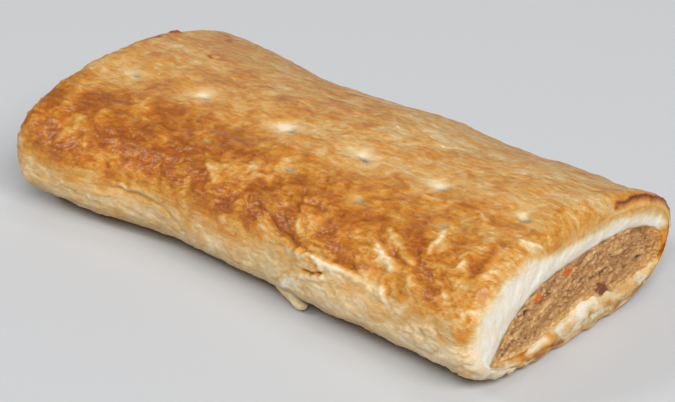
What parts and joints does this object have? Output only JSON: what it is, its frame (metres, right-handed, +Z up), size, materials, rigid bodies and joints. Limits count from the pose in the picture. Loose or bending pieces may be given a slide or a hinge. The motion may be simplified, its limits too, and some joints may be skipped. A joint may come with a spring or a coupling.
{
  "type": "sausage roll",
  "caption": "Baked puff pastry roll cut square at both ends, with rounded golden crust, docked top and a log of minced filling that shows at each end.",
  "frame": {"origin": "centre of the bounding box in plan, on the surface that the roll rests on", "axes": "+X along the roll from its far cut end to its near cut end, +Z up, so the front long side faces -Y"},
  "size_m": [0.14, 0.0805, 0.0318],
  "materials": {
    "pastry": "egg-washed puff pastry, golden on top and pale at the sides",
    "filling": "cooked minced sausage meat"
  },
  "bodies": {
    "root": {"pastry": "pastry", "filling": "filling"}
  },
  "joints": []
}
